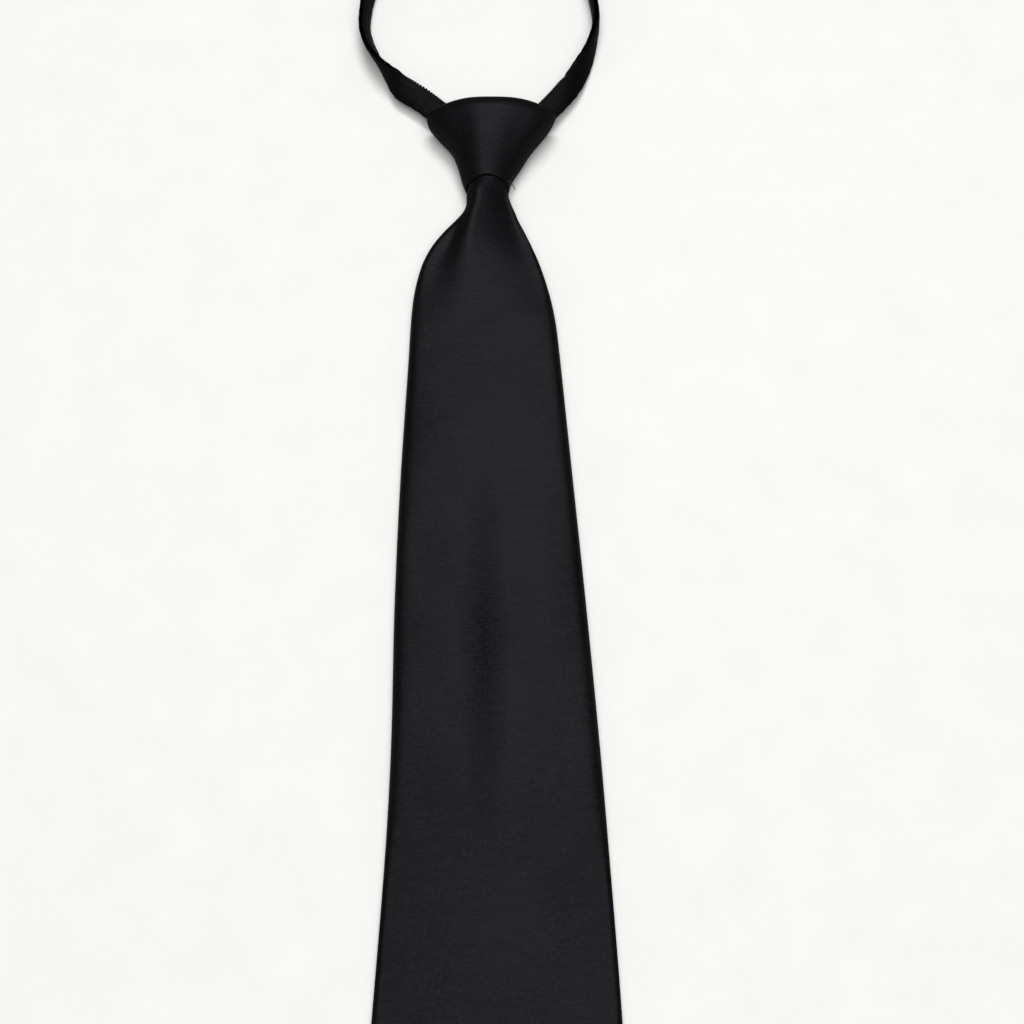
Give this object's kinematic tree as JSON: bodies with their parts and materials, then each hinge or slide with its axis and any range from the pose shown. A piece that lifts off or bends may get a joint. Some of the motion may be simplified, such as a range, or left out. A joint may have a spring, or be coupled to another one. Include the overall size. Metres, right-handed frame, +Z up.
{
  "type": "zipper tie",
  "caption": "Ready-made black satin necktie lying on its back, with a pointed blade, a made-up hollow knot and a neck loop of covered zip tape that closes into a tail behind the blade.",
  "frame": {"origin": "bottom centre of the bounding box, on the surface the tie lies on", "axes": "+X to the right of the tie's front, +Y along the tie from the blade's point to the neck loop, +Z up, out of the front face"},
  "size_m": [0.0872, 0.5708, 0.0196],
  "materials": {
    "satin": "black polyester satin, soft sheen",
    "band_satin": "black satin band, slightly duller",
    "zip_tape": "woven black zip tape, matt",
    "zip_teeth": "black nylon teeth",
    "slider": "black enamel"
  },
  "bodies": {
    "root": {"blade": "satin", "knot": "satin", "neck_band": "band_satin", "zip_teeth_left": "zip_teeth", "zip_teeth_right": "zip_teeth", "zip_slider": "slider", "zip_tail": "zip_tape", "tail_pull": "band_satin"}
  },
  "joints": []
}
